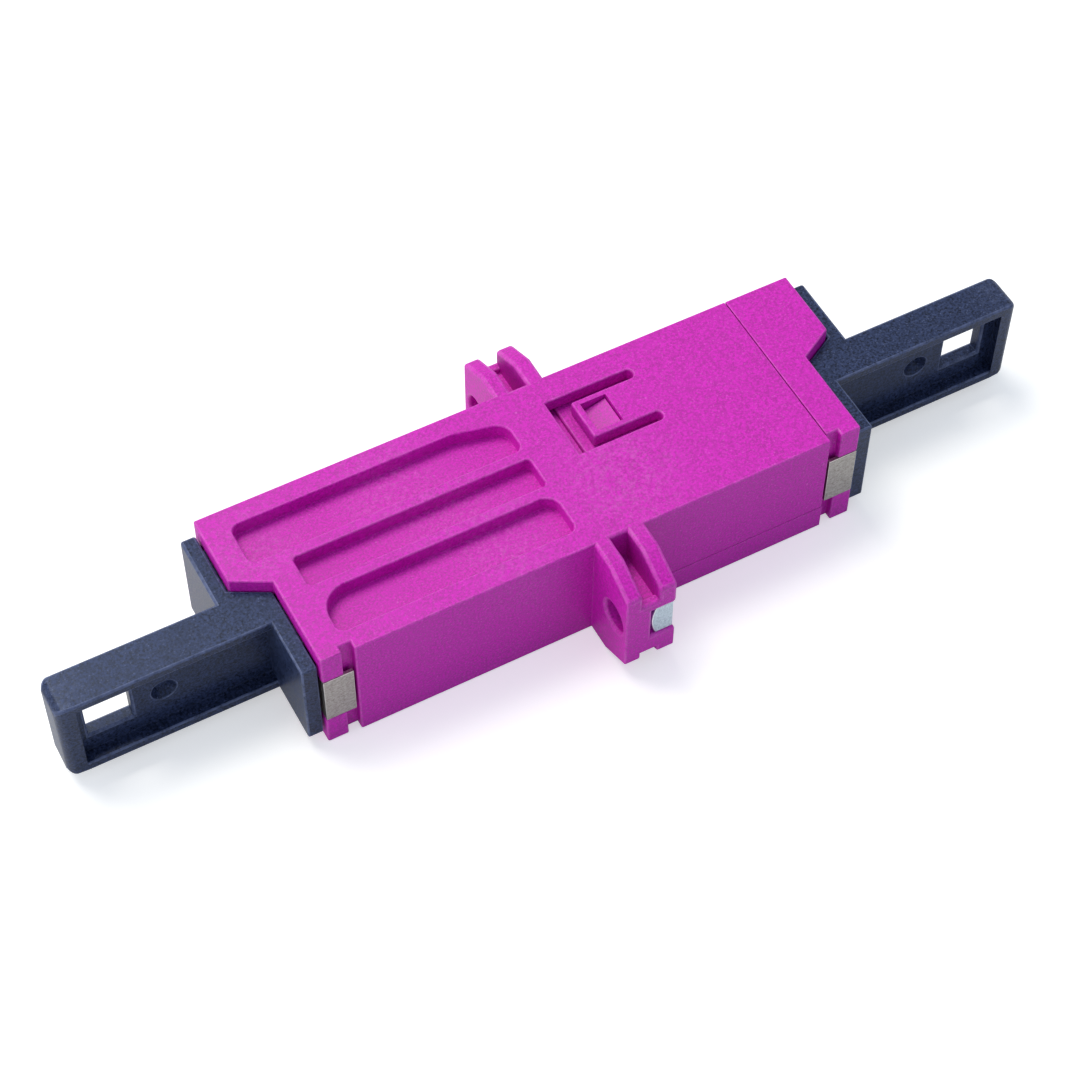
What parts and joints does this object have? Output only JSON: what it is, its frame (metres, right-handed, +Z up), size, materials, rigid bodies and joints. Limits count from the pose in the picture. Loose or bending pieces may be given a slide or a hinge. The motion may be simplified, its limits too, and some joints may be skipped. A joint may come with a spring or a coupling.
{
  "type": "fibre optic adapter",
  "caption": "Shuttered fibre optic adapter: keyed rectangular violet body with a slotted screw flange, a sprung flap in each socket and a pull-out dust plug at both ends.",
  "frame": {"origin": "middle of the box on the plane that the body stands on", "axes": "+X along the fibre axis, towards the end with the separate collar; +Z up, towards the grooved top; -Y is the side with the shutter hinges"},
  "size_m": [0.0666, 0.0212, 0.0087],
  "materials": {
    "violet_moulding": "fine moulded texture",
    "plug_moulding": "fine moulded texture",
    "shutter_steel": "rolled sheet",
    "plated_insert": "turned and plated",
    "ceramic": "polished ceramic",
    "holder_moulding": "plain moulding"
  },
  "bodies": {
    "adapter": {"housing_body": "violet_moulding", "end_insert": "violet_moulding", "alignment_sleeve": "ceramic", "sleeve_holder_left": "holder_moulding", "sleeve_holder_right": "holder_moulding", "threaded_insert_near": "plated_insert", "threaded_insert_far": "plated_insert", "left_shutter_clip": "shutter_steel", "left_shutter_pin": "shutter_steel", "left_shutter_spring": "shutter_steel", "right_shutter_clip": "shutter_steel", "right_shutter_pin": "shutter_steel", "right_shutter_spring": "shutter_steel"},
    "left_plug": {"left_dust_plug": "plug_moulding"},
    "right_plug": {"right_dust_plug": "plug_moulding"},
    "left_shutter": {"left_shutter_flap": "shutter_steel"},
    "right_shutter": {"right_shutter_flap": "shutter_steel"}
  },
  "joints": [
    {"name": "left_plug_pull", "type": "slide", "parent": "adapter", "child": "left_plug", "axis": [-1, 0, 0], "range_m": [0, 0.014]},
    {"name": "left_shutter_hinge", "type": "hinge", "parent": "adapter", "child": "left_shutter", "pos_m": [-0.0176, -0.00465, 0.00435], "axis": [0, 0, 1], "range_deg": [0, 77]},
    {"name": "right_plug_pull", "type": "slide", "parent": "adapter", "child": "right_plug", "axis": [1, 0, 0], "range_m": [0, 0.014]},
    {"name": "right_shutter_hinge", "type": "hinge", "parent": "adapter", "child": "right_shutter", "pos_m": [0.0176, -0.00465, 0.00435], "axis": [0, 0, -1], "range_deg": [0, 77]}
  ],
  "couplings": [
    {"joint": "left_shutter_hinge", "follows": "left_plug_pull", "rad_per_m": 95.99},
    {"joint": "right_shutter_hinge", "follows": "right_plug_pull", "rad_per_m": 95.99}
  ]
}
